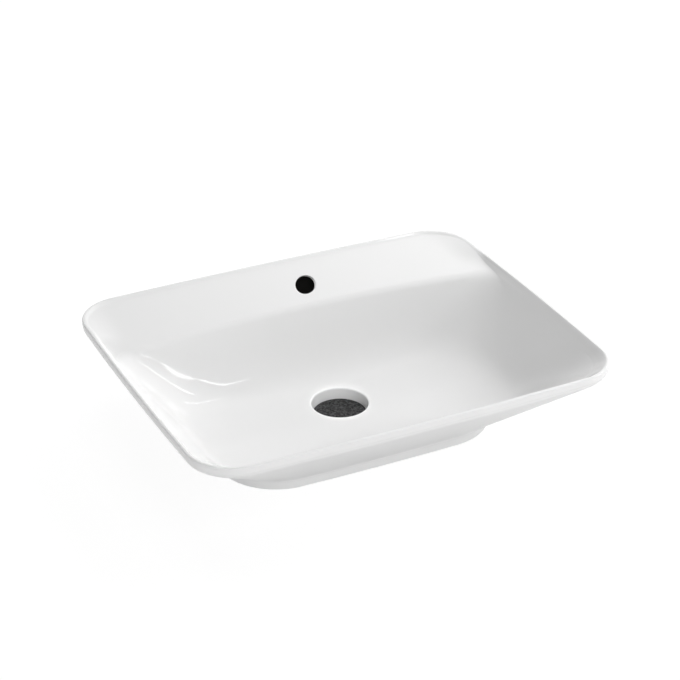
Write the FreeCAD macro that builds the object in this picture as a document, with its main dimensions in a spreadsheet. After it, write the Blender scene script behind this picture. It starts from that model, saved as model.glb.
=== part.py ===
"""Countertop basin: a glazed ceramic bowl with a click waste clamped in its drain hole.

Millimetres, +Z up, +Y to the back. The origin is on the waste's axis, in the plane of the counter
that the basin stands on, so the waste's tail and its nut lie below zero.
"""
import FreeCAD, Part
import Sketcher
import os
from math import atan2, ceil, cos, degrees, pi, radians, sin, tan

V = FreeCAD.Vector

SIZES = {
    # Rim of the ceramic body
    "rim_width": 500,
    "rim_front": 206.5,
    "rim_back": 201.5,
    "rim_corner": 53,
    "rim_land": 4.6,
    "rim_round": 2.2,
    "front_bow": 1.45,
    "side_bow": 1.7,
    "basin_height": 112,
    # Outside, below the rim
    "band_height": 11,
    "band_round": 14,
    "foot_width": 330,
    "foot_front": 105,
    "foot_back": 120,
    "foot_corner": 70,
    "foot_height": 13,
    "foot_draft": 1.5,
    "foot_cove": 10,
    "foot_round": 2,
    "sole_depth": 1.5,
    "sole_ring": 24,
    "sole_boss_radius": 40,
    # Bowl
    "floor_width": 354,
    "floor_front": 109,
    "floor_back": 69.5,
    "floor_corner": 50,
    "floor_back_corner": 76,
    "floor_depth": 84,
    "floor_fall": 2,
    "floor_round": 42,
    "back_round": 46,
    # Rear deck
    "deck_lip": 4,
    "deck_depth": 2.2,
    "deck_round": 8,
    "crease_back": 94.5,
    "crease_depth": 7,
    "crease_round": 18,
    "crease_corner": 20,
    "crease_bow": 8.2,
    # Drain hole and overflow
    "recess_radius": 32.25,
    "drain_land": 2.5,
    "drain_round": 1.8,
    "mouth_round": 1,
    "ledge_height": 10,
    "drain_bore_radius": 23,
    "overflow_side": 22.6,
    "overflow_back": 138,
    "overflow_radius": 11.8,
    "overflow_slant": 30,
    "overflow_turn": 26,
    "overflow_length": 28,
    "duct_width": 26,
    "duct_height": 4.6,
    "duct_floor": 3.4,
    "duct_reach": 93,
    "riser_radius": 8,
    # Waste body and what clamps it
    "flange_radius": 31,
    "flange_thickness": 1.6,
    "flange_edge": 0.5,
    "tail_radius": 20.95,
    "tail_drop": 58,
    "tail_thread": 32,
    "tail_groove": 2,
    "tail_groove_depth": 0.8,
    "throat_radius": 18,
    "throat_seat": 2.5,
    "slot_width": 14,
    "slot_height": 6,
    "slot_floor": 3,
    "flange_gasket_thickness": 1,
    "flange_gasket_radius": 30,
    "tail_clearance": 0.25,
    "base_gasket_height": 8,
    "base_gasket_radius": 33,
    "base_gasket_taper": 4,
    "washer_radius": 31,
    "washer_thickness": 1.5,
    "nut_height": 12,
    "nut_corner_radius": 32,
    "nut_flange_radius": 33,
    "nut_flange_height": 3,
    # Plug and its latch
    "hub_radius": 9.5,
    "hub_height": 10,
    "hub_drop": 8.4,
    "spoke_width": 3,
    "spoke_height": 8,
    "sleeve_radius": 6.2,
    "sleeve_length": 28,
    "sleeve_floor": 2,
    "sleeve_weep_radius": 1.2,
    "collar_radius": 8.2,
    "collar_height": 3,
    "plunger_radius": 4.5,
    "plunger_length": 20,
    "plunger_rise": 1,
    "plug_travel": 9,
    "running_clearance": 0.1,
    "thread_clearance": 0.05,
    "pin_radius": 0.8,
    "pin_reach": 3.5,
    "groove_clearance": 0.2,
    "spring_wire_radius": 0.45,
    "spring_radius": 3.6,
    "spring_turns": 5,
    "stud_radius": 2,
    "stud_length": 15,
    "stud_engagement": 7,
    "locknut_height": 2.8,
    "locknut_corner_radius": 4,
    "cap_radius": 27,
    "cap_thickness": 2.2,
    "cap_round": 1,
    "cap_gap": 0.4,
    "spigot_radius": 12,
    "spigot_length": 4.4,
    "seal_height": 2.6,
    "seal_clearance": 0.3,
}

# Degrees of a rounded corner between two stations of the bowl, and between two points looked up on it
PROFILE_STEP = 14.0
PROFILE_FINE_STEP = 2.0
# Largest share of the bowl's depth from front to back that one plan corner may take
CORNER_SHARE = 0.46
# The bowl's back corners open out quickly below the crease, and then more slowly
CORNER_EASE = 0.5
# The drain's ring is all corner, but for slivers of bowed side that keep eight arcs in every section
ROUND_SHARE = 0.999
# Nearness in millimetres for finding edges
TOUCH = 1e-3
SLOT_TURN = 45
SLOT_COUNT = 2
SPOKE_TURN = 90
SPOKE_COUNT = 3
HEXAGON = 6
FULL_TURN = 360

doc = FreeCAD.newDocument("countertop_basin")
sheet = doc.addObject("Spreadsheet::Sheet", "sheet")
for row, (alias, number) in enumerate(SIZES.items(), start=1):
    sheet.set(f"A{row}", alias)
    sheet.set(f"B{row}", str(number))
    sheet.setAlias(f"B{row}", alias)
doc.recompute()


def is_name(word):
    return word not in "+-" and not word[0].isdigit()


def value(terms):
    """Number for a sum of sheet names, such as 'ledge_height + flange_thickness'."""
    total, sign = 0.0, 1
    for word in terms.split():
        if word in "+-":
            sign = 1 if word == "+" else -1
        else:
            total += sign * (sheet.get(word) if is_name(word) else float(word))
    return total


def formula(terms):
    """The same sum as an expression bound to the sheet."""
    return " ".join("sheet." + word if is_name(word) else word for word in terms.split())


def bind(item, **properties):
    for name, terms in properties.items():
        item.setExpression(name.replace("__", "."), formula(terms))
    return item


def cylinder(name, radius, height, foot="0"):
    item = doc.addObject("Part::Cylinder", name)
    return bind(item, Radius=radius, Height=height, Placement__Base__z=foot)


def fused(name, *items):
    fuse = doc.addObject("Part::MultiFuse", name)
    fuse.Shapes = list(items)
    return fuse


def cut(name, base, *tools):
    result = doc.addObject("Part::Cut", name)
    result.Base = base
    result.Tool = tools[0] if len(tools) == 1 else fused(name + "_tools", *tools)
    return result


def turned(name, profile, foot="0"):
    """A turned piece: its (radius, height) corners in sheet terms, measured from its own foot."""
    body = doc.addObject("PartDesign::Body", name)
    sketch = body.newObject("Sketcher::SketchObject", name + "_profile")
    plane = next(item for item in body.Origin.OriginFeatures if item.Role == "XZ_Plane")
    sketch.AttachmentSupport = (plane, [""])
    sketch.MapMode = "FlatFace"
    corners = [V(value(radius), value(height), 0) for radius, height in profile]
    count = len(corners)
    for index in range(count):
        sketch.addGeometry(Part.LineSegment(corners[index], corners[(index + 1) % count]))
    for index in range(count):
        sketch.addConstraint(Sketcher.Constraint("Coincident", index, 2, (index + 1) % count, 1))
    for index, (radius, height) in enumerate(profile):
        for kind, axis, terms in (("DistanceX", -2, radius), ("DistanceY", -1, height)):
            if terms == "0":
                sketch.addConstraint(Sketcher.Constraint("PointOnObject", index, 1, axis))
                continue
            limit = sketch.addConstraint(Sketcher.Constraint(kind, -1, 1, index, 1, value(terms)))
            sketch.setExpression(f"Constraints[{limit}]", formula(terms))
    turn = body.newObject("PartDesign::Revolution", name + "_turned")
    turn.Profile = sketch
    turn.ReferenceAxis = (sketch, ["V_Axis"])
    turn.Angle = FULL_TURN
    return bind(body, Placement__Base__z=foot)


def outline(name, front, back, half_width, corners, back_bow, height):
    """Plan outline in one level: four gently bowed sides and four corner arcs, all tangent.

    The corners are the radii of the two front ones and of the two back ones.
    """
    bow_front, bow_side, bow_back = [radians(angle) for angle in
                                     (value("front_bow"), value("side_bow"), back_bow)]
    lean_front, lean_side, lean_back = [tan(bow / 2) for bow in (bow_front, bow_side, bow_back)]
    r_front, r_back = corners
    step = (r_back - r_front) * cos(bow_side)
    middle = front + back - (r_front + r_back) * (1 - sin(bow_side)) - step * lean_front
    x_back = (half_width - r_back * cos(bow_side) - lean_side * middle / 2) / (
        1 - lean_side * (lean_front + lean_back) / 2)
    x_front = x_back + step
    ends = {
        1: (x_back, back - r_back - x_back * lean_back, r_back, bow_back, back),
        -1: (x_front, front - r_front - x_front * lean_front, r_front, bow_front, front),
    }

    def place(x_sign, y_sign, angle):
        x, y, radius = ends[y_sign][:3]
        return V(x_sign * (x + radius * cos(angle)), y_sign * (y + radius * sin(angle)), height)

    side_middle = (place(1, 1, bow_side).y + place(1, -1, bow_side).y) / 2
    edges = []
    for x_sign, y_sign in ((1, 1), (-1, 1), (-1, -1), (1, -1)):
        low, high = bow_side, radians(FULL_TURN / 4) - ends[y_sign][3]
        arc = [place(x_sign, y_sign, angle) for angle in (low, (low + high) / 2, high)]
        edges.append(Part.Arc(*(arc if x_sign * y_sign > 0 else arc[::-1])).toShape())
        if x_sign == y_sign:
            apex = V(0, y_sign * ends[y_sign][4], height)
            edges.append(Part.Arc(arc[2], apex, place(-x_sign, y_sign, high)).toShape())
        else:
            apex = V(x_sign * half_width, side_middle, height)
            edges.append(Part.Arc(arc[0], apex, place(x_sign, -y_sign, low)).toShape())
    section = doc.addObject("Part::Feature", name)
    section.Shape = Part.Wire(edges)
    return section


def lofted(name, sections):
    loft = doc.addObject("Part::Loft", name)
    loft.Sections = sections
    loft.Solid = True
    loft.Ruled = True
    return loft


def rounded_profile(corners, step):
    """Stations along a line of (reach, height, radius) corners, each corner a true arc."""
    stations = [corners[0][:2]]
    for before, here, after in zip(corners, corners[1:], corners[2:]):
        heading_in = atan2(here[1] - before[1], here[0] - before[0])
        heading_out = atan2(after[1] - here[1], after[0] - here[0])
        turn = (heading_out - heading_in + pi) % (2 * pi) - pi
        radius = here[2]
        tangent = radius * tan(abs(turn) / 2)
        side = 1 if turn > 0 else -1
        start = (here[0] - tangent * cos(heading_in), here[1] - tangent * sin(heading_in))
        centre = (start[0] - side * radius * sin(heading_in), start[1] + side * radius * cos(heading_in))
        parts = max(2, ceil(abs(turn) / radians(step)))
        for index in range(parts + 1):
            angle = heading_in + turn * index / parts
            stations.append((centre[0] + side * radius * sin(angle),
                             centre[1] - side * radius * cos(angle)))
    stations.append(corners[-1][:2])
    return stations


def reach_at(stations, height):
    """Reach of a falling profile at one height."""
    for upper, lower in zip(stations, stations[1:]):
        if lower[1] <= height <= upper[1] and upper[1] > lower[1]:
            share = (upper[1] - height) / (upper[1] - lower[1])
            return upper[0] + (lower[0] - upper[0]) * share
    return stations[-1][0]


def blend(first, last, share):
    """Between two numbers, and no further than either."""
    return first + (last - first) * max(0, min(1, share))


def two_point_cylinder(name, radius, start, end):
    """A round tool from one point to another."""
    item = bind(doc.addObject("Part::Cylinder", name), Radius=radius)
    item.Height = (end - start).Length
    item.Placement = FreeCAD.Placement(start, FreeCAD.Rotation(V(0, 0, 1), end - start))
    return item


def radial_box(name, length, width, height, foot, angle):
    """A block that runs out from the waste's axis at one angle."""
    block = bind(doc.addObject("Part::Box", name), Length=length, Width=width, Height=height)
    inside = FreeCAD.Placement(V(0, -value(width) / 2, value(foot)), FreeCAD.Rotation())
    block.Placement = FreeCAD.Placement(V(), FreeCAD.Rotation(V(0, 0, 1), angle)) * inside
    return block


# Ceramic body
def outer_form():
    """Foot, flared underside and upright rim band, with the outside edges rounded."""
    height = value("basin_height")
    bow = value("front_bow")
    foot = [value("foot_front"), value("foot_back"), value("foot_width") / 2]
    foot_corner = value("foot_corner")
    rim = [value("rim_front"), value("rim_back"), value("rim_width") / 2]
    rim_corners = (value("rim_corner"), value("rim_corner"))
    draft = value("foot_draft")
    form = lofted("outer_form", [
        outline("foot_sole", *foot, (foot_corner, foot_corner), bow, 0),
        outline("foot_top", *[size + draft for size in foot], (foot_corner + draft, foot_corner + draft),
                bow, value("foot_height")),
        outline("band_foot", *rim, rim_corners, bow, height - value("band_height")),
        outline("band_top", *rim, rim_corners, bow, height),
    ])
    doc.recompute()
    levels = {
        0: value("foot_round"),
        value("foot_height"): value("foot_cove"),
        height - value("band_height"): value("band_round"),
        height: value("rim_round"),
    }
    rounds = []
    for number, edge in enumerate(form.Shape.Edges, start=1):
        box = edge.BoundBox
        for level, radius in levels.items():
            if abs(box.ZMin - level) < TOUCH and box.ZLength < TOUCH:
                rounds.append((number, radius, radius))
    smooth = doc.addObject("Part::Fillet", "outer_rounded")
    smooth.Base = form
    smooth.Edges = rounds
    return smooth


def bowl_cavity():
    """The space above the glaze: rim round, rear deck, crease, walls and the floor to the drain."""
    height = value("basin_height")
    floor = height - value("floor_depth")
    drain = (value("recess_radius + drain_land"), floor - value("floor_fall"), 0)
    land = value("rim_land")
    rim_round = value("rim_round")
    half_width = value("rim_width") / 2

    def plain_wall(rim, floor_reach):
        return rounded_profile([
            (rim - land / 2, height, 0),
            (rim - land, height, rim_round),
            (floor_reach, floor, value("floor_round")),
            drain,
        ], PROFILE_FINE_STEP)

    rim_back = value("rim_back")
    back = rounded_profile([
        (rim_back - land / 2, height, 0),
        (rim_back - land, height, rim_round),
        (rim_back - land - value("deck_lip"), height - value("deck_depth"), value("deck_round")),
        (value("crease_back"), height - value("crease_depth"), value("crease_round")),
        (value("floor_back"), floor, value("back_round")),
        drain,
    ], PROFILE_STEP)
    front = plain_wall(value("rim_front"), value("floor_front"))
    side = plain_wall(half_width, value("floor_width") / 2)

    inner_corner = value("rim_corner") - land
    deck_back = rim_back - land - value("deck_lip")
    crease_level = height - value("crease_depth")
    sections = []
    for index, (back_reach, level) in enumerate(back):
        front_reach = front[0][0] if index == 0 else reach_at(front, level)
        side_reach = side[0][0] if index == 0 else reach_at(side, level)
        front_corner = blend(inner_corner, value("floor_corner"), (height - level) / value("floor_depth"))
        crossing = (deck_back - back_reach) / (deck_back - value("crease_back"))
        bow = blend(value("front_bow"), value("crease_bow"), crossing)
        back_corner = blend(inner_corner, value("crease_corner"), crossing)
        if level < crease_level:
            fall = min(1, (crease_level - level) / (crease_level - floor))
            back_corner = blend(value("crease_corner"), value("floor_back_corner"), fall ** CORNER_EASE)
        largest = CORNER_SHARE * (front_reach + back_reach)
        corners = (min(front_corner, largest), min(back_corner, largest))
        if index == len(back) - 1:
            corners = (ROUND_SHARE * drain[0], ROUND_SHARE * drain[0])
        sections.append(outline(f"bowl_section_{index}", front_reach, back_reach, side_reach,
                                corners, bow, level))
    above = height + value("rim_round")
    mouth_corner = inner_corner + land / 2
    sections.insert(0, outline("bowl_mouth", front[0][0], back[0][0], side[0][0],
                               (mouth_corner, mouth_corner), value("front_bow"), above))
    return lofted("bowl_cavity", sections)


def sole_pocket():
    """Shallow relief under the foot, which leaves a ring to stand on and a boss for the waste."""
    ring = value("sole_ring")
    corner = value("foot_corner") - ring
    plan = [value("foot_front") - ring, value("foot_back") - ring, value("foot_width") / 2 - ring,
            (corner, corner), value("front_bow")]
    pocket = lofted("sole_relief", [
        outline("sole_low", *plan, -value("sole_depth")),
        outline("sole_high", *plan, value("sole_depth")),
    ])
    boss = cylinder("sole_boss", "sole_boss_radius", "sole_depth + sole_depth", "0 - sole_depth")
    return cut("sole_pocket", pocket, boss)


def overflow_tools():
    """Slanted hole in the deck, and the passage inside the wall that leads from it to the drain."""
    slant = radians(value("overflow_slant"))
    turn = radians(value("overflow_turn"))
    inward = V(sin(turn) * cos(slant), cos(turn) * cos(slant), -sin(slant))
    deck_back = value("rim_back - rim_land - deck_lip")
    crossing = (deck_back - value("overflow_back")) / (deck_back - value("crease_back"))
    depth = blend(value("deck_depth"), value("crease_depth"), crossing)
    mouth = V(value("overflow_side"), value("overflow_back"), value("basin_height") - depth)
    radius = value("overflow_radius")
    end = mouth + inward * value("overflow_length")
    hole = two_point_cylinder("overflow_hole", "overflow_radius", mouth - inward * 2 * radius, end)

    reach = value("duct_reach")
    heading = atan2(value("overflow_side") / 2, reach)
    low = value("duct_floor") + value("duct_height") / 2
    foot = V(reach * sin(heading), reach * cos(heading), low)
    riser = two_point_cylinder("overflow_riser", "riser_radius", foot,
                               mouth + inward * (value("overflow_length") - value("riser_radius")))
    duct = radial_box("overflow_duct", "duct_reach", "duct_width", "duct_height", "duct_floor",
                      FULL_TURN / 4 - degrees(heading))
    return hole, riser, duct


def basin_body():
    recess = cylinder("drain_recess", "recess_radius", "basin_height - floor_depth", "ledge_height")
    bore = cylinder("drain_bore", "drain_bore_radius", "ledge_height + ledge_height",
                    "0 - sole_depth")
    hollow = cut("basin_hollow", outer_form(), bowl_cavity(), sole_pocket(), recess, bore,
                 *overflow_tools())
    doc.recompute()
    drain_level = value("basin_height - floor_depth - floor_fall")
    deck_level = value("basin_height - crease_depth")
    side = value("overflow_side")
    near = value("overflow_radius") + TOUCH
    rounds = []
    for number, edge in enumerate(hollow.Shape.Edges, start=1):
        box = edge.BoundBox
        across = box.XLength - 2 * value("recess_radius")
        if abs(box.ZMin - drain_level) < TOUCH and abs(across) < TOUCH:
            rounds.append((number, value("drain_round"), value("drain_round")))
        if box.ZMin > deck_level and side - near < box.XMin and box.XMax < side + near:
            rounds.append((number, value("mouth_round"), value("mouth_round")))
    body = doc.addObject("Part::Fillet", "basin_body")
    body.Base = hollow
    body.Edges = rounds
    return body


# Waste and what clamps it
FLANGE_FOOT = "ledge_height + flange_gasket_thickness"


def waste_body():
    """Flange, throat with a conical seat, spoked hub and threaded tail with overflow slots."""
    under = "tail_drop + " + FLANGE_FOOT
    top = under + " + flange_thickness"
    groove = "tail_radius - tail_groove_depth"
    shell = turned("waste_shell", [
        ("throat_radius", "0"),
        ("tail_radius", "0"),
        ("tail_radius", "tail_thread"),
        (groove, "tail_thread"),
        (groove, "tail_thread + tail_groove"),
        ("tail_radius", "tail_thread + tail_groove"),
        ("tail_radius", under),
        ("flange_radius", under),
        ("flange_radius", top + " - flange_edge"),
        ("flange_radius - flange_edge", top),
        ("throat_radius + throat_seat", top),
        ("throat_radius", top + " - throat_seat"),
    ], "0 - tail_drop")
    slots = []
    for index in range(SLOT_COUNT):
        slot = radial_box(f"overflow_slot_{index}", "tail_radius + tail_radius", "slot_width",
                          "slot_height", "slot_floor", SLOT_TURN + FULL_TURN / SLOT_COUNT * index)
        slots.append(slot)
    slotted = cut("waste_slotted", shell, *slots)
    hub = cylinder("waste_hub", "hub_radius", "hub_height", "0 - hub_drop")
    spokes = []
    for index in range(SPOKE_COUNT):
        spoke = radial_box(f"waste_spoke_{index}", "throat_radius + thread_clearance", "spoke_width",
                           "spoke_height", "0 - hub_drop", SPOKE_TURN + FULL_TURN / SPOKE_COUNT * index)
        spokes.append(spoke)
    carried = fused("waste_with_hub", slotted, hub, *spokes)
    socket = cylinder("sleeve_socket", "sleeve_radius + thread_clearance", "hub_height + hub_height",
                      "0 - hub_drop - hub_drop")
    return cut("waste_body", carried, socket)


def ring(name, inner, outer, height, foot, outer_low=None):
    """A plain or tapered ring."""
    return turned(name, [(inner, "0"), (outer_low or outer, "0"), (outer, height), (inner, height)], foot)


def back_nut():
    foot = "0 - base_gasket_height - washer_thickness - nut_height"
    hexagon = bind(doc.addObject("Part::Prism", "nut_hexagon"), Circumradius="nut_corner_radius",
                   Height="nut_height", Placement__Base__z=foot)
    hexagon.Polygon = HEXAGON
    flange = cylinder("nut_flange", "nut_flange_radius", "nut_flange_height",
                      "0 - base_gasket_height - washer_thickness - nut_flange_height")
    thread = cylinder("nut_thread", "tail_radius + thread_clearance", "nut_height", foot)
    return cut("back_nut", fused("nut_blank", hexagon, flange), thread)


# Plug and latch
HUB_TOP = "hub_height - hub_drop"
SLEEVE_FOOT = HUB_TOP + " - sleeve_length"
SLEEVE_TOP = HUB_TOP + " + collar_height"
PLUNGER_TOP = SLEEVE_TOP + " + plunger_rise"
PLUNGER_FOOT = PLUNGER_TOP + " - plunger_length"
CAP_FOOT = FLANGE_FOOT + " + flange_thickness + cap_gap"


def pin_height():
    return value(SLEEVE_TOP) - value("collar_height") / 2


def latch_sleeve():
    """Screwed into the hub from above: collar, closed foot with a weep hole, and the pin's hole."""
    bore = "plunger_radius + running_clearance"
    length = "sleeve_length + collar_height"
    blank = turned("sleeve_blank", [
        ("sleeve_weep_radius", "0"),
        ("sleeve_radius", "0"),
        ("sleeve_radius", "sleeve_length"),
        ("collar_radius", "sleeve_length"),
        ("collar_radius", length),
        (bore, length),
        (bore, "sleeve_floor"),
        ("sleeve_weep_radius", "sleeve_floor"),
    ], SLEEVE_FOOT)
    level = pin_height()
    hole = two_point_cylinder("sleeve_pin_hole", "pin_radius + thread_clearance", V(0, 0, level),
                              V(2 * value("collar_radius"), 0, level))
    return cut("latch_sleeve", blank, hole)


def guide_pin():
    level = pin_height()
    return two_point_cylinder("guide_pin", "pin_radius", V(value("pin_reach"), 0, level),
                              V(value("collar_radius"), 0, level))


def latch_plunger():
    """Slides in the sleeve, with a socket for the stud and a groove that the pin runs in."""
    socket = "stud_radius + thread_clearance"
    blank = turned("plunger_blank", [
        ("0", "0"),
        ("plunger_radius", "0"),
        ("plunger_radius", "plunger_length"),
        (socket, "plunger_length"),
        (socket, "plunger_length - stud_engagement - thread_clearance"),
        ("0", "plunger_length - stud_engagement - thread_clearance"),
    ], PLUNGER_FOOT)
    margin = value("pin_radius + groove_clearance")
    groove = bind(doc.addObject("Part::Box", "plunger_groove"), Length="plunger_radius",
                  Width="pin_radius + pin_radius + groove_clearance + groove_clearance",
                  Height="plug_travel + pin_radius + pin_radius + groove_clearance + groove_clearance")
    groove.Placement.Base = V(value("pin_reach - groove_clearance"), -margin,
                              pin_height() - value("plug_travel") - margin)
    return cut("latch_plunger", blank, groove)


def helix_wire(radius, rise, turns, foot):
    """Coil centre line: each quarter turn is two arcs that keep the helix's direction at their ends."""
    pieces = 4 * turns
    pitch = rise / turns

    def point(angle):
        return V(radius * cos(angle), radius * sin(angle), foot + pitch * angle / radians(FULL_TURN))

    def heading(angle):
        along = V(-radius * sin(angle), radius * cos(angle), pitch / radians(FULL_TURN))
        return along.normalize()

    def arc(start, direction, end):
        chord = end - start
        normal = chord - direction * chord.dot(direction)
        normal.normalize()
        size = chord.dot(chord) / (2 * chord.dot(normal))
        centre = start + normal * size
        outward = ((start - centre) + (end - centre)).normalize()
        return Part.Arc(start, centre + outward * size, end).toShape()

    edges = []
    for index in range(pieces):
        low, high = (radians(90) * step for step in (index, index + 1))
        start, end, first, last = point(low), point(high), heading(low), heading(high)
        chord, sway = end - start, first + last
        spread = 2 * (1 - first.dot(last))
        reach = (-chord.dot(sway) + (chord.dot(sway) ** 2 + spread * chord.dot(chord)) ** 0.5) / spread
        joint = (start + first * reach + end - last * reach) * 0.5
        across = (end - last * reach) - (start + first * reach)
        edges.append(arc(start, first, joint))
        edges.append(arc(joint, across.normalize(), end))
    return Part.Wire(edges)


def latch_spring():
    """Coil between the sleeve's floor and the plunger."""
    wire_radius = value("spring_wire_radius")
    low = value(SLEEVE_FOOT + " + sleeve_floor") + wire_radius
    high = value(PLUNGER_FOOT) - wire_radius - value("running_clearance")
    turns = int(value("spring_turns"))
    radius = value("spring_radius")
    path = helix_wire(radius, high - low, turns, low)
    rise = (high - low) / turns
    along = V(0, radius, rise / radians(FULL_TURN))
    section = Part.Wire(Part.makeCircle(wire_radius, V(radius, 0, low), along))
    spring = doc.addObject("Part::Feature", "latch_spring")
    spring.Shape = path.makePipeShell([section], True, False)
    return spring


def stud_locknut():
    foot = PLUNGER_TOP + " + thread_clearance"
    hexagon = bind(doc.addObject("Part::Prism", "locknut_hexagon"), Circumradius="locknut_corner_radius",
                   Height="locknut_height", Placement__Base__z=foot)
    hexagon.Polygon = HEXAGON
    thread = cylinder("locknut_thread", "stud_radius + thread_clearance", "locknut_height", foot)
    return cut("stud_locknut", hexagon, thread)


def plug_cap():
    """Flat cap with a spigot that carries the seal and takes the stud."""
    socket = "stud_radius + thread_clearance"
    length = "spigot_length + cap_thickness"
    depth = PLUNGER_TOP + " + stud_length - stud_engagement + spigot_length - " + \
        CAP_FOOT.replace("+", "-") + " + thread_clearance"
    cap = turned("plug_cap", [
        (socket, "0"),
        ("spigot_radius", "0"),
        ("spigot_radius", "spigot_length"),
        ("cap_radius", "spigot_length"),
        ("cap_radius", length),
        ("0", length),
        ("0", depth),
        (socket, depth),
    ], CAP_FOOT + " - spigot_length")
    doc.recompute()
    edges = cap.Shape.Edges
    rims = [f"Edge{number}" for number, edge in enumerate(edges, start=1)
            if abs(edge.BoundBox.ZMin - value(CAP_FOOT + " + cap_thickness")) < TOUCH
            and edge.BoundBox.ZLength < TOUCH and edge.BoundBox.XLength > value("cap_radius")]
    blank = cap.Tip
    rim = cap.newObject("PartDesign::Fillet", "cap_rim")
    rim.Base = (blank, rims)
    bind(rim, Radius="cap_round")
    return cap


def plug_seal():
    """Conical rubber ring, a clearance away from the throat's seat when the plug is down."""
    low = "throat_radius - seal_clearance - seal_clearance"
    return turned("plug_seal", [
        ("spigot_radius + thread_clearance", "0"),
        (low, "0"),
        (low + " + seal_height", "seal_height"),
        ("spigot_radius + thread_clearance", "seal_height"),
    ], CAP_FOOT + " - seal_height")


def build():
    tail_hole = "tail_radius + tail_clearance"
    washer_foot = "0 - base_gasket_height - washer_thickness"
    pieces = [
        basin_body(),
        waste_body(),
        ring("flange_gasket", "drain_bore_radius", "flange_gasket_radius", "flange_gasket_thickness",
             "ledge_height"),
        ring("base_gasket", tail_hole, "base_gasket_radius", "base_gasket_height",
             "0 - base_gasket_height", "base_gasket_radius - base_gasket_taper"),
        ring("slip_washer", tail_hole, "washer_radius", "washer_thickness", washer_foot),
        back_nut(),
        latch_sleeve(),
        guide_pin(),
        latch_plunger(),
        latch_spring(),
        turned("plug_stud", [("0", "0"), ("stud_radius", "0"), ("stud_radius", "stud_length"),
                             ("0", "stud_length")], PLUNGER_TOP + " - stud_engagement"),
        stud_locknut(),
        plug_cap(),
        plug_seal(),
    ]
    doc.recompute()
    return pieces


def export(pieces):
    failed = [item.Name for item in doc.Objects if {"Invalid", "Error"} & set(item.State)]
    for piece in pieces:
        shape = piece.Shape
        if shape.isNull() or not shape.isValid() or not shape.Solids:
            failed.append(piece.Label)
    if failed:
        raise RuntimeError("these did not build: " + ", ".join(failed))
    os.makedirs("parts", exist_ok=True)
    for piece in pieces:
        piece.Shape.exportStep(f"parts/{piece.Label}.step")
        box = piece.Shape.optimalBoundingBox()
        print(f"{piece.Label}: {len(piece.Shape.Solids)} solid, {piece.Shape.Volume / 1000:.1f} cm3,"
              f" z {box.ZMin:.2f} to {box.ZMax:.2f}")


export(build())
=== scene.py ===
from math import atan2, ceil, cos, pi, radians, sin, sqrt, tan

import bpy
import numpy as np
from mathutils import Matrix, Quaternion, Vector

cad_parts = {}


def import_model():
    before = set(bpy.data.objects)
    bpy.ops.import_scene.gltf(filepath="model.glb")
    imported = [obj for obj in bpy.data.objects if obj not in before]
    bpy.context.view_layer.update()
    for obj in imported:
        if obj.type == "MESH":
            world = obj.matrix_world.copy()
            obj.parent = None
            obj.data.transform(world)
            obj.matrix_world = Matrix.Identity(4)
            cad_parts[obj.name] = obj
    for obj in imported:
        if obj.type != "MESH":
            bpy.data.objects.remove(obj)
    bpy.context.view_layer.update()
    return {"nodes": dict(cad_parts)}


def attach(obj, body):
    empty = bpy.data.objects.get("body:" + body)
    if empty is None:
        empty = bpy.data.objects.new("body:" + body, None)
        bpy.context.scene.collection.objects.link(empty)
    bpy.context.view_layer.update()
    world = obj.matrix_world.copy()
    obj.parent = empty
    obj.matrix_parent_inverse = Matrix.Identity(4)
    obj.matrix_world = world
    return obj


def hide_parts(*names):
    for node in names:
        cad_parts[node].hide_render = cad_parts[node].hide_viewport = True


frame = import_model()

MM = 0.001

# Ceramic sizes in millimetres and degrees. They follow the solid's, apart from a narrower flat
# on the rim and a tighter crease.
RIM_WIDTH, RIM_FRONT, RIM_BACK, RIM_CORNER = 500.0, 206.5, 201.5, 53.0
RIM_LAND, RIM_ROUND = 3.4, 1.6
FRONT_BOW, SIDE_BOW, CREASE_BOW = 1.45, 1.7, 8.2
HEIGHT, BAND_HEIGHT, BAND_ROUND = 112.0, 11.0, 14.0
FOOT_WIDTH, FOOT_FRONT, FOOT_BACK, FOOT_CORNER = 330.0, 105.0, 120.0, 70.0
FOOT_HEIGHT, FOOT_DRAFT, FOOT_COVE, FOOT_ROUND = 13.0, 1.5, 10.0, 2.0
SOLE_DEPTH, SOLE_RING, SOLE_BOSS = 1.5, 24.0, 40.0
FLOOR_WIDTH, FLOOR_FRONT, FLOOR_BACK = 354.0, 109.0, 69.5
FLOOR_CORNER, FLOOR_BACK_CORNER, CREASE_CORNER = 50.0, 76.0, 20.0
FLOOR_DEPTH, FLOOR_FALL, FLOOR_ROUND, BACK_ROUND = 84.0, 2.0, 42.0, 46.0
DECK_LIP, DECK_DEPTH, DECK_ROUND = 4.0, 2.2, 8.0
CREASE_BACK, CREASE_DEPTH, CREASE_ROUND = 94.5, 7.0, 10.0
RECESS_RADIUS, DRAIN_LAND, DRAIN_ROUND = 32.25, 2.5, 1.8
LEDGE_HEIGHT, BORE_RADIUS = 10.0, 23.0
OVERFLOW_SIDE, OVERFLOW_BACK, OVERFLOW_RADIUS = 22.6, 138.0, 11.8
OVERFLOW_SLANT, OVERFLOW_TURN, OVERFLOW_LENGTH = 30.0, 26.0, 28.0
# Round of the overflow mouth's edge, and the depth down the duct past which the duct is painted
# near black as painted shade
MOUTH_ROUND, PAINTED_SHADE_DEPTH = 1.0, 1.2
BAND_LEVEL = HEIGHT - BAND_HEIGHT
FLOOR_LEVEL = HEIGHT - FLOOR_DEPTH
DRAIN_LEVEL = FLOOR_LEVEL - FLOOR_FALL
CREASE_LEVEL = HEIGHT - CREASE_DEPTH
DECK_BACK = RIM_BACK - RIM_LAND - DECK_LIP

# The glaze runs thicker at one side of the overflow's mouth
GLAZE_RUN, RUN_SIDE = 1.6, (0.786, 0.0, 0.619)

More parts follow.
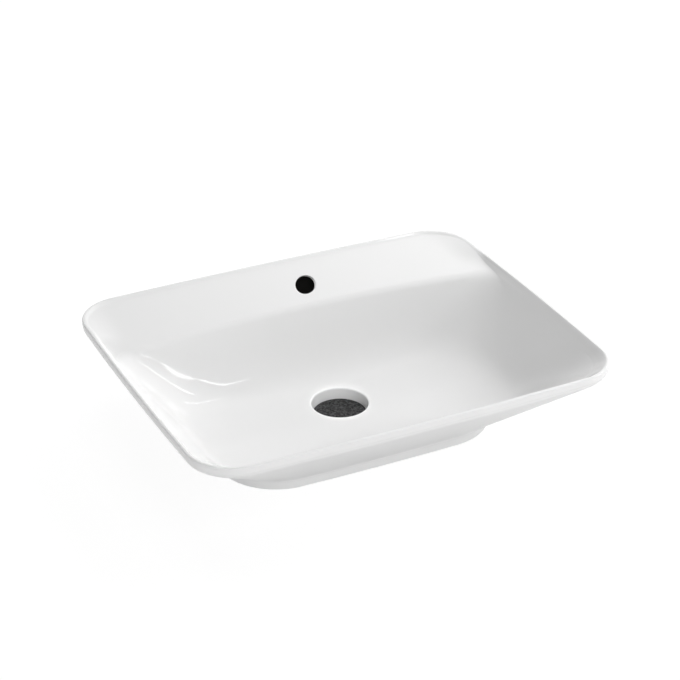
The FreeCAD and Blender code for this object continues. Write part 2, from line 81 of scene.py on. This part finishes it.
# Largest corner radius of a bowl ring, as a share of its depth, and the share of a circle's
# radius that its four corner arcs take
CORNER_LIMIT, CIRCLE_CORNER = 0.46, 0.999

# Mesh density: cells round a ring, then steps in degrees and millimetres along the profiles
SIDE_CELLS, LONG_CELLS, CORNER_CELLS = 56, 104, 22
RING = 2 * (SIDE_CELLS + LONG_CELLS) + 4 * CORNER_CELLS
BACK_START = SIDE_CELLS + CORNER_CELLS
BACK_MIDDLE = BACK_START + LONG_CELLS // 2
BACK_QUARTER = BACK_MIDDLE - SIDE_CELLS // 2
ARC_STEP, RUN_STEP, OUTER_STEP = 4.0, 3.2, 6.0
OUTER_CELLS, EDGE_CELLS = 8, 6
SHARP_ANGLE = 40.0

# Patch of the rear deck round the overflow: its reach along and across, and the places of the
# rings between its border and the mouth, and down the duct
PATCH_REACH, PATCH_SIDE = 31.0, 22.0
PATCH_SHARES, DUCT_SHARES = (0.35, 0.65, 0.85), (0.33, 0.66, 1.0)

# Passes that settle the glaze in the bowl's hollows, the weight of each, the start below the
# crease and the rings over which they fade in and out
SETTLE_PASSES, SETTLE_WEIGHT, SETTLE_BELOW, SETTLE_FADE = 60, 0.5, 4.0, 8

# Rise of the rear deck's ends to the rim: its start from the middle, its run behind the crease
# and its share of the depth
DISH_SIDE, DISH_RUN, DISH_SHARE = 210.0, 30.0, 0.96


def outline(front, back, half_width, corners, back_bow):
    """Plan of one ring: four bowed sides and four corner arcs, anticlockwise from the right."""
    fb, sb, bb = (radians(angle) for angle in (FRONT_BOW, SIDE_BOW, back_bow))
    tf, ts, tb = tan(fb / 2), tan(sb / 2), tan(bb / 2)
    rf, rb = corners
    shift = (rb - rf) * cos(sb)
    middle = front + back - (rf + rb) * (1 - sin(sb)) - shift * tf
    xb = (half_width - rb * cos(sb) - ts * middle / 2) / (1 - ts * (tf + tb) / 2)
    xf = xb + shift
    yb, yf = back - rb - xb * tb, front - rf - xf * tf
    side_r = (yb + yf + (rb + rf) * sin(sb)) / 2 / sin(sb)
    side_x = xb + (rb - side_r) * cos(sb)
    side_y = (yb + rb * sin(sb) - yf - rf * sin(sb)) / 2
    back_r, front_r = xb / sin(bb) + rb, xf / sin(fb) + rf
    back_y = yb + (rb - back_r) * cos(bb)
    front_y = -yf - (rf - front_r) * cos(fb)
    right = pi / 2
    arcs = (
        (side_x, side_y, side_r, -sb, sb, SIDE_CELLS),
        (xb, yb, rb, sb, right - bb, CORNER_CELLS),
        (0, back_y, back_r, right - bb, right + bb, LONG_CELLS),
        (-xb, yb, rb, right + bb, pi - sb, CORNER_CELLS),
        (-side_x, side_y, side_r, pi - sb, pi + sb, SIDE_CELLS),
        (-xf, -yf, rf, pi + sb, 3 * right - fb, CORNER_CELLS),
        (0, front_y, front_r, 3 * right - fb, 3 * right + fb, LONG_CELLS),
        (xf, -yf, rf, 3 * right + fb, 4 * right - sb, CORNER_CELLS),
    )
    points = []
    for cx, cy, radius, low, high, cells in arcs:
        for step in range(cells):
            angle = low + (high - low) * step / cells
            points.append((cx + radius * cos(angle), cy + radius * sin(angle)))
    return points


def circle(radius):
    corner = radius * CIRCLE_CORNER
    return outline(radius, radius, radius, (corner, corner), FRONT_BOW)


def blend(first, last, share):
    return first + (last - first) * max(0, min(1, share))


def level(points, height):
    return [(x, y, height) for x, y in points]


def rounded(corners, cells=None):
    """Stations along a line of (reach, height, radius) corners, with cells on each round."""
    stations = [corners[0][:2]]
    for before, here, after in zip(corners, corners[1:], corners[2:]):
        heading_in = atan2(here[1] - before[1], here[0] - before[0])
        heading_out = atan2(after[1] - here[1], after[0] - here[0])
        turn = (heading_out - heading_in + pi) % (2 * pi) - pi
        radius = here[2]
        side = 1 if turn > 0 else -1
        reach = radius * tan(abs(turn) / 2)
        start = (here[0] - reach * cos(heading_in), here[1] - reach * sin(heading_in))
        centre = (start[0] - side * radius * sin(heading_in),
                  start[1] + side * radius * cos(heading_in))
        count = cells or max(2, ceil(abs(turn) / radians(ARC_STEP)))
        for step in range(count + 1):
            angle = heading_in + turn * step / count
            stations.append((centre[0] + side * radius * sin(angle),
                             centre[1] - side * radius * cos(angle)))
    stations.append(corners[-1][:2])
    return stations


def reach_at(stations, height):
    """Reach of a falling profile at a height."""
    for upper, lower in zip(stations, stations[1:]):
        if lower[1] <= height <= upper[1] and upper[1] > lower[1]:
            share = (upper[1] - height) / (upper[1] - lower[1])
            return upper[0] + (lower[0] - upper[0]) * share
    return stations[-1][0]


def between(first, last, count):
    """Rings that divide the straight run from one ring to the next."""
    rings = []
    for step in range(1, count):
        share = step / count
        rings.append([tuple(a + (b - a) * share for a, b in zip(p, q))
                      for p, q in zip(first, last)])
    return rings


def filled(rings, step):
    """The same rings with long runs divided."""
    full = [rings[0]]
    for last in rings[1:]:
        first = full[-1]
        gap = max((Vector(p) - Vector(q)).length for p, q in zip(first, last))
        full += between(first, last, max(1, ceil(gap / step)))
        full.append(last)
    return full


def outer_rings():
    """Foot, cove, flared underside and rim band, up to the rim's crest."""
    def profile(foot, rim):
        return rounded([
            (foot - SOLE_RING, 0, 0),
            (foot, 0, FOOT_ROUND),
            (foot + FOOT_DRAFT, FOOT_HEIGHT, FOOT_COVE),
            (rim, BAND_LEVEL, BAND_ROUND),
            (rim, HEIGHT, RIM_ROUND),
            (rim - RIM_LAND / 2, HEIGHT, 0),
        ], OUTER_CELLS)

    profiles = [profile(FOOT_FRONT, RIM_FRONT), profile(FOOT_BACK, RIM_BACK),
                profile(FOOT_WIDTH / 2, RIM_WIDTH / 2)]
    rings = []
    for front, back, side in zip(*profiles):
        share = max(0, min(1, (side[1] - FOOT_HEIGHT) / (BAND_LEVEL - FOOT_HEIGHT)))
        inset = side[0] - (FOOT_WIDTH / 2 + (RIM_WIDTH - FOOT_WIDTH) / 2 * share)
        corner = FOOT_CORNER + (RIM_CORNER - FOOT_CORNER) * share + min(FOOT_DRAFT, inset)
        plan = outline(front[0], back[0], side[0], (corner, corner), FRONT_BOW)
        ring = []
        for x, y in plan:
            across = (x / side[0]) ** 2
            along = (y / (back[0] if y > 0 else front[0])) ** 2
            high = side[1] * across + (back[1] if y > 0 else front[1]) * along
            ring.append((x, y, high / (across + along)))
        rings.append(ring)
    return rings


def bowl_rings():
    """From the rim's crest over the lip, deck, crease, walls and floor to the drain."""
    drain = (RECESS_RADIUS + DRAIN_LAND, DRAIN_LEVEL, 0)

    def plain_wall(rim, reach):
        return rounded([(rim - RIM_LAND / 2, HEIGHT, 0), (rim - RIM_LAND, HEIGHT, RIM_ROUND),
                        (reach, FLOOR_LEVEL, FLOOR_ROUND), drain])

    back = rounded([
        (RIM_BACK - RIM_LAND / 2, HEIGHT, 0),
        (RIM_BACK - RIM_LAND, HEIGHT, RIM_ROUND),
        (DECK_BACK, HEIGHT - DECK_DEPTH, DECK_ROUND),
        (CREASE_BACK, CREASE_LEVEL, CREASE_ROUND),
        (FLOOR_BACK, FLOOR_LEVEL, BACK_ROUND),
        drain,
    ])
    front = plain_wall(RIM_FRONT, FLOOR_FRONT)
    side = plain_wall(RIM_WIDTH / 2, FLOOR_WIDTH / 2)
    full = [back[0]]
    for station in back[1:-1]:
        last = full[-1]
        run = sqrt((station[0] - last[0]) ** 2 + (station[1] - last[1]) ** 2)
        count = max(1, ceil(run / RUN_STEP))
        for step in range(1, count + 1):
            share = step / count
            full.append((last[0] + (station[0] - last[0]) * share,
                         last[1] + (station[1] - last[1]) * share))

    inner_corner = RIM_CORNER - RIM_LAND
    rings = []
    for index, (back_reach, height) in enumerate(full):
        front_reach = front[0][0] if index == 0 else reach_at(front, height)
        side_reach = side[0][0] if index == 0 else reach_at(side, height)
        front_corner = blend(inner_corner, FLOOR_CORNER, (HEIGHT - height) / FLOOR_DEPTH)
        crossing = (DECK_BACK - back_reach) / (DECK_BACK - CREASE_BACK)
        bow = blend(FRONT_BOW, CREASE_BOW, crossing)
        back_corner = blend(inner_corner, CREASE_CORNER, crossing)
        if height < CREASE_LEVEL:
            fall = min(1, (CREASE_LEVEL - height) / (CREASE_LEVEL - FLOOR_LEVEL))
            back_corner = blend(CREASE_CORNER, FLOOR_BACK_CORNER, sqrt(fall))
        largest = CORNER_LIMIT * (front_reach + back_reach)
        corners = (min(front_corner, largest), min(back_corner, largest))
        plan = outline(front_reach, back_reach, side_reach, corners, bow)
        rings.append(level(plan, height))
    floor_end = level(circle(drain[0]), drain[1])
    return rings + filled([rings[-1], floor_end], RUN_STEP)[1:]


def as_rings(grid):
    return [[tuple(float(v) for v in point) for point in ring] for ring in grid]


def settled(rings):
    """Glaze evens out the bowl from the crease to the drain, where arcs and flats meet."""
    grid = np.array(rings)
    first = next(number for number, ring in enumerate(rings)
                 if ring[BACK_MIDDLE][2] < CREASE_LEVEL - SETTLE_BELOW)
    place = np.arange(len(rings))
    share = np.clip(np.minimum(place - first, len(rings) - 1 - place) / SETTLE_FADE, 0, 1)
    for _ in range(SETTLE_PASSES):
        near = (np.roll(grid, 1, 1) + np.roll(grid, -1, 1)
                + np.roll(grid, 1, 0) + np.roll(grid, -1, 0))
        grid += SETTLE_WEIGHT * share[:, None, None] * (near / 4 - grid)
    return as_rings(grid)


def dished(rings):
    """The rear deck's left and right ends rise to the rim in a hollow curve."""
    grid = np.array(rings)
    x, y, z = grid[..., 0], grid[..., 1], grid[..., 2]
    end = np.clip((abs(x) - DISH_SIDE) / (RIM_WIDTH / 2 - RIM_LAND - DISH_SIDE), 0, 1)
    behind = np.clip((y - CREASE_BACK) / DISH_RUN, 0, 1)
    grid[..., 2] += DISH_SHARE * (HEIGHT - z) * end ** 2 * behind ** 2 * (3 - 2 * behind)
    return as_rings(grid)


def drain_rings():
    """Rounded drain edge, recess wall, ledge and bore, down to the sole."""
    rings = []
    for step in range(EDGE_CELLS + 1):
        angle = pi / 2 * step / EDGE_CELLS
        radius = RECESS_RADIUS + DRAIN_ROUND * (1 - sin(angle))
        rings.append(level(circle(radius), DRAIN_LEVEL - DRAIN_ROUND * (1 - cos(angle))))
    rings.append(level(circle(RECESS_RADIUS), LEDGE_HEIGHT))
    rings.append(level(circle(BORE_RADIUS), LEDGE_HEIGHT))
    rings.append(level(circle(BORE_RADIUS), 0))
    return rings


def sole_rings():
    """Underside of the boss round the drain and the relief; the standing ring closes on it."""
    reach = [size - SOLE_RING for size in (FOOT_FRONT, FOOT_BACK, FOOT_WIDTH / 2)]
    corner = FOOT_CORNER - SOLE_RING
    relief = outline(*reach, (corner, corner), FRONT_BOW)
    return [level(circle(SOLE_BOSS), 0), level(circle(SOLE_BOSS), SOLE_DEPTH),
            level(relief, SOLE_DEPTH)]


def overflow_loops(border):
    """Loops of points from the patch's border to the mouth's round edge and down the duct."""
    slant, turn = radians(OVERFLOW_SLANT), radians(OVERFLOW_TURN)
    inward = Vector((sin(turn) * cos(slant), cos(turn) * cos(slant), -sin(slant)))
    deck_rise = (CREASE_DEPTH - DECK_DEPTH) / (DECK_BACK - CREASE_BACK)
    normal = Vector((0, -deck_rise, 1)).normalized()
    deck_z = CREASE_LEVEL + deck_rise * (OVERFLOW_BACK - CREASE_BACK)
    mouth = Vector((OVERFLOW_SIDE, OVERFLOW_BACK, deck_z))
    run_side = Vector(RUN_SIDE)

    tops, edges, downs, shade_starts, ends = [], [], [], [], []
    for point in border:
        spoke = point - mouth
        spoke -= inward * spoke.dot(inward)
        radial = spoke.normalized()
        start = mouth + radial * OVERFLOW_RADIUS
        edge = start + inward * ((mouth - start).dot(normal) / inward.dot(normal))
        out = (radial - normal * radial.dot(normal)).normalized()
        down = edge + inward * MOUTH_ROUND
        run = radial * GLAZE_RUN * max(0, radial.dot(run_side))
        tops.append(edge + out * MOUTH_ROUND)
        edges.append(edge)
        downs.append(down)
        shade_starts.append(down + inward * PAINTED_SHADE_DEPTH - run)
        ends.append(start + inward * OVERFLOW_LENGTH)

    loops = [[point.lerp(top, share) for point, top in zip(border, tops)]
             for share in PATCH_SHARES]
    for step in range(EDGE_CELLS + 1):
        share = step / EDGE_CELLS
        loops.append([top * (1 - share) ** 2 + edge * 2 * share * (1 - share) + down * share ** 2
                      for top, edge, down in zip(tops, edges, downs)])
    loops.append(shade_starts)
    for share in DUCT_SHARES:
        loops.append([start.lerp(end, share) for start, end in zip(shade_starts, ends)])
    return loops


def new_object(name, points, faces):
    """An object with only the points that its faces use."""
    used = sorted({at for face in faces for at in face})
    number = {at: place for place, at in enumerate(used)}
    mesh = bpy.data.meshes.new(name)
    mesh.from_pydata([Vector(points[at]) * MM for at in used], [],
                     [[number[at] for at in face] for face in faces])
    mesh.validate()
    mesh.update()
    item = bpy.data.objects.new(name, mesh)
    bpy.context.scene.collection.objects.link(item)
    return item


def ceramic():
    """One closed skin of rings, with the overflow hole let into the rear deck."""
    outer = filled(outer_rings(), OUTER_STEP)
    bowl = dished(settled(bowl_rings()))
    rings = outer + bowl[1:] + drain_rings() + sole_rings()
    points = [p for ring in rings for p in ring]
    count = len(rings)

    def index(ring, column):
        return (ring % count) * RING + column % RING

    rows = [r for r in range(len(outer), len(outer) + len(bowl) - 1)
            if abs(rings[r][BACK_QUARTER][1] - OVERFLOW_BACK) < PATCH_REACH
            and rings[r][BACK_QUARTER][2] > CREASE_LEVEL]
    first_row, last_row = rows[0], rows[-1]
    columns = [c for c in range(BACK_START, BACK_START + LONG_CELLS)
               if abs(rings[first_row][c][0] - OVERFLOW_SIDE) < PATCH_SIDE]
    first_column, last_column = columns[0], columns[-1]

    faces = []
    for r in range(count):
        for c in range(RING):
            if first_row <= r < last_row and first_column <= c < last_column:
                continue
            faces.append((index(r, c), index(r, c + 1), index(r + 1, c + 1), index(r + 1, c)))

    border = [index(first_row, c) for c in range(first_column, last_column)]
    border += [index(r, last_column) for r in range(first_row, last_row)]
    border += [index(last_row, c) for c in range(last_column, first_column, -1)]
    border += [index(r, first_column) for r in range(last_row, first_row, -1)]
    loops = [border]
    for places in overflow_loops([Vector(points[at]) for at in border]):
        loops.append(list(range(len(points), len(points) + len(places))))
        points.extend(tuple(p) for p in places)
    size = len(border)
    for number, (above, below) in enumerate(zip(loops, loops[1:])):
        if number == len(loops) - 1 - len(DUCT_SHARES):
            painted_shade_from = len(faces)
        for c in range(size):
            after = (c + 1) % size
            faces.append((above[c], above[after], below[after], below[c]))
    faces.append(tuple(loops[-1]))

    item = new_object("basin_glaze", points, faces)
    item.data.materials.append(glaze_material())
    # Painted shade: past the mouth's round edge, the duct's faces take a near-black colour that
    # stands for the shade deep in the unlit overflow duct
    item.data.materials.append(speckled_material("duct_painted_shade", (0.012, 0.011, 0.01), 0.85, 0.0))
    for face in item.data.polygons[painted_shade_from:]:
        face.material_index = 1
    item.data.shade_smooth()
    item.data.set_sharp_from_angle(angle=radians(SHARP_ANGLE))
    return item


def node_material(name):
    material = bpy.data.materials.new(name)
    material.use_nodes = True
    nodes, links = material.node_tree.nodes, material.node_tree.links
    return material, nodes, links, nodes["Principled BSDF"]


def new_node(nodes, kind, **values):
    """A node with its inputs set; an underscore stands for a space."""
    node = nodes.new(kind)
    for name, value in values.items():
        node.inputs[name.replace("_", " ")].default_value = value
    return node


def noise(nodes, links, scale, detail):
    """Noise in the object's own space."""
    place = nodes.new("ShaderNodeTexCoord")
    texture = new_node(nodes, "ShaderNodeTexNoise", Scale=scale, Detail=detail)
    links.new(place.outputs["Object"], texture.inputs["Vector"])
    return texture.outputs["Fac"]


def tint(nodes, links, value, shader, colours, stops=(0.0, 1.0)):
    ramp = nodes.new("ShaderNodeValToRGB")
    for element, colour, stop in zip(ramp.color_ramp.elements, colours, stops):
        element.position = stop
        element.color = (*colour, 1)
    links.new(value, ramp.inputs["Fac"])
    links.new(ramp.outputs["Color"], shader.inputs["Base Color"])


def roughen(links, value, shader, spread):
    links.new(value, spread.inputs["Value"])
    links.new(spread.outputs["Result"], shader.inputs["Roughness"])


def emboss(nodes, links, value, shader, strength):
    bump = new_node(nodes, "ShaderNodeBump", Strength=strength, Distance=0.0004)
    links.new(value, bump.inputs["Height"])
    links.new(bump.outputs["Normal"], shader.inputs["Normal"])


def glaze_material():
    """White glaze with a faint wave, shiny where it faces up or outward and dull underneath."""
    material, nodes, links, shader = node_material("white_glaze")
    tint(nodes, links, noise(nodes, links, 9.0, 3.0), shader,
         ((0.865, 0.866, 0.866), (0.885, 0.885, 0.882)))
    emboss(nodes, links, noise(nodes, links, 30.0, 1.0), shader, 0.12)
    shader.inputs["IOR"].default_value = 1.52
    place = nodes.new("ShaderNodeTexCoord")
    facing = nodes.new("ShaderNodeSeparateXYZ")
    links.new(place.outputs["Normal"], facing.inputs["Vector"])
    spread = new_node(nodes, "ShaderNodeMapRange",
                      From_Min=-0.6, From_Max=-0.1, To_Min=0.55, To_Max=0.07)
    roughen(links, facing.outputs["Z"], shader, spread)
    return material


def speckled_material(name, colour, rough, metallic=1.0):
    """A fine grain in colour and roughness."""
    material, nodes, links, shader = node_material(name)
    grain = noise(nodes, links, 900.0, 4.0)
    tint(nodes, links, grain, shader,
         ([c * 0.75 for c in colour], [min(1, c * 1.25) for c in colour]))
    spread = new_node(nodes, "ShaderNodeMapRange", To_Min=rough * 0.75, To_Max=rough * 1.3)
    roughen(links, grain, shader, spread)
    shader.inputs["Metallic"].default_value = metallic
    return material


def grained_material(name, dark, pale, rough):
    """Dark metal with a coarse cast grain."""
    material, nodes, links, shader = node_material(name)
    grain = noise(nodes, links, 420.0, 2.0)
    tint(nodes, links, grain, shader, (dark, pale), (0.35, 0.68))
    emboss(nodes, links, grain, shader, 0.3)
    shader.inputs["Roughness"].default_value = rough
    shader.inputs["Metallic"].default_value = 1.0
    return material


def dress(node, material):
    data = frame["nodes"][node].data
    data.materials.clear()
    data.materials.append(material)


basin = ceramic()
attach(basin, "basin")
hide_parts("basin_body")

gunmetal = speckled_material("gunmetal_plating", (0.09, 0.09, 0.095), 0.22)
cast_cap = grained_material("cast_gunmetal", (0.012, 0.012, 0.012), (0.1, 0.1, 0.102), 0.4)
brass = speckled_material("turned_brass", (0.72, 0.55, 0.27), 0.3)
steel = speckled_material("spring_steel", (0.55, 0.55, 0.56), 0.28)
rubber = speckled_material("black_rubber", (0.022, 0.022, 0.023), 0.6, 0.0)
nylon = speckled_material("natural_nylon", (0.74, 0.74, 0.71), 0.42, 0.0)
acetal = speckled_material("white_acetal", (0.78, 0.78, 0.76), 0.35, 0.0)
for node, material in {
    "waste_body": gunmetal, "plug_cap": cast_cap, "flange_gasket": rubber,
    "base_gasket": rubber, "plug_seal": rubber, "slip_washer": nylon, "back_nut": brass,
    "latch_sleeve": brass, "plug_stud": brass, "stud_locknut": brass, "guide_pin": steel,
    "latch_spring": steel, "latch_plunger": acetal,
}.items():
    dress(node, material)


# Stage, light and camera; the sky gives no light of its own, and lamps stand in metres
SKY = 0.0
STAGE_REACH = 6000.0
LAMP_DISTANCE, LAMP_TARGET = 2.2, (0, 0, 0.05)
LENS, SENSOR = 106.3, 36.0
CAMERA_PLACE = (-864.08, -1759.64, 1192.08)
CAMERA_BACK = (-0.3857, -0.7853, 0.4844)

# Name, azimuth, elevation and roll in degrees, size, power, and whether reflections show it
LAMPS = (
    ("low_back_right", 45, 12, 0, (1.2, 0.6), 21.5, False),
    ("back_right", 45, 40, 0, (1.2, 1.2), 10.7, False),
    ("right", 90, 40, 0, (1.2, 1.2), 18.2, False),
    ("low_front_right", 135, 10, 0, (1.2, 0.6), 6.4, False),
    ("front", 180, 40, 0, (1.2, 1.2), 10.9, False),
    ("low_front_left", 225, 10, 0, (1.2, 0.6), 6.0, False),
    ("left", 270, 40, 0, (1.2, 1.2), 2.2, False),
    ("high_back", 0, 70, 0, (1.2, 1.2), 12.4, False),
    ("kicker_left", 270, 1.3, 0, (1.4, 0.08), 6.0, False),
    ("kicker_front", 190, 1.3, 0, (1.4, 0.08), 7.5, False),
    ("window_sill", 114, 28.4, 2, (1.55, 0.12), 3.5, True),
    ("window_front", 138.3, 38, 90, (0.75, 0.1), 1.8, True),
    ("window_back", 92.7, 35.5, 90, (0.42, 0.1), 0.8, True),
    ("far_window", 70, 46, 90, (1.3, 0.05), 1.1, True),
)
DRAIN_SPOT = (206, 62, 115)


def seen_white(nodes, links, lit, white):
    """White for what the camera, reflections and clear materials see, else the lit shader."""
    path = nodes.new("ShaderNodeLightPath")
    glossy = nodes.new("ShaderNodeMath")
    seen = nodes.new("ShaderNodeMath")
    seen.use_clamp = True
    links.new(path.outputs["Is Camera Ray"], glossy.inputs[0])
    links.new(path.outputs["Is Glossy Ray"], glossy.inputs[1])
    links.new(glossy.outputs["Value"], seen.inputs[0])
    links.new(path.outputs["Is Transmission Ray"], seen.inputs[1])
    mix = nodes.new("ShaderNodeMixShader")
    links.new(seen.outputs["Value"], mix.inputs["Fac"])
    links.new(lit, mix.inputs[1])
    links.new(white, mix.inputs[2])
    return mix.outputs["Shader"]


def floor():
    """White ground that still takes a little of the object's shadow."""
    corners = [(x * STAGE_REACH, y * STAGE_REACH, 0)
               for x, y in ((-1, -1), (1, -1), (1, 1), (-1, 1))]
    item = new_object("floor", corners, [(0, 1, 2, 3)])
    material, nodes, links, shader = node_material("white_floor")
    shader.inputs["Base Color"].default_value = (0.68, 0.68, 0.68, 1)
    shader.inputs["Roughness"].default_value = 0.9
    glow = new_node(nodes, "ShaderNodeEmission", Strength=0.93)
    shade = new_node(nodes, "ShaderNodeBsdfDiffuse", Color=(0.12, 0.12, 0.12, 1))
    white = nodes.new("ShaderNodeAddShader")
    links.new(glow.outputs["Emission"], white.inputs[0])
    links.new(shade.outputs["BSDF"], white.inputs[1])
    surface = seen_white(nodes, links, shader.outputs["BSDF"], white.outputs["Shader"])
    links.new(surface, nodes["Material Output"].inputs["Surface"])
    item.data.materials.append(material)


def world():
    """A white backdrop that lights nothing."""
    sky = bpy.data.worlds.new("studio")
    bpy.context.scene.world = sky
    sky.use_nodes = True
    nodes, links = sky.node_tree.nodes, sky.node_tree.links
    backdrop = nodes["Background"]
    backdrop.inputs["Color"].default_value = (1, 1, 1, 1)
    backdrop.inputs["Strength"].default_value = SKY
    white = new_node(nodes, "ShaderNodeBackground", Color=(1, 1, 1, 1), Strength=1.0)
    surface = seen_white(nodes, links, backdrop.outputs["Background"],
                         white.outputs["Background"])
    links.new(surface, nodes["World Output"].inputs["Surface"])


def away(azimuth, elevation):
    """A lamp's place from what it lights; the azimuth runs from the back over the right."""
    turn, rise = radians(azimuth), radians(elevation)
    return LAMP_DISTANCE * Vector((sin(turn) * cos(rise), cos(turn) * cos(rise), sin(rise)))


def placed(name, data, location, rotation):
    item = bpy.data.objects.new(name, data)
    item.location = location
    item.rotation_mode = "QUATERNION"
    item.rotation_quaternion = rotation
    bpy.context.scene.collection.objects.link(item)
    return item


def softbox(name, azimuth, elevation, roll, size, power, mirrored):
    """A rectangular lamp that faces the basin."""
    lamp = bpy.data.lights.new(name, "AREA")
    lamp.shape = "RECTANGLE"
    lamp.size, lamp.size_y = size
    lamp.energy = power
    place = away(azimuth, elevation)
    facing = (Vector(LAMP_TARGET) - place).to_track_quat("-Z", "Y")
    item = placed(name, lamp, place, facing @ Quaternion((0, 0, 1), radians(roll)))
    item.visible_glossy = mirrored


def drain_spot(azimuth, elevation, power):
    """A narrow beam into the drain recess, which the bowl shades from the other lamps."""
    reach = away(azimuth, elevation)
    lamp = bpy.data.lights.new("drain_spot", "SPOT")
    lamp.energy = power
    lamp.spot_size = 2 * atan2(RECESS_RADIUS * MM, reach.length)
    lamp.spot_blend = 0.3
    lamp.shadow_soft_size = 0.01
    rim = Vector((0, 0, DRAIN_LEVEL)) * MM
    item = placed("drain_spot", lamp, rim + reach, (-reach).to_track_quat("-Z", "Y"))
    item.visible_glossy = False


def camera():
    data = bpy.data.cameras.new("camera")
    data.lens, data.sensor_width = LENS, SENSOR
    view = -Vector(CAMERA_BACK).normalized()
    bpy.context.scene.camera = placed("camera", data, Vector(CAMERA_PLACE) * MM,
                                      view.to_track_quat("-Z", "Y"))


floor()
world()
for lamp in LAMPS:
    softbox(*lamp)
drain_spot(*DRAIN_SPOT)
camera()
bpy.context.scene.view_settings.view_transform = "Standard"
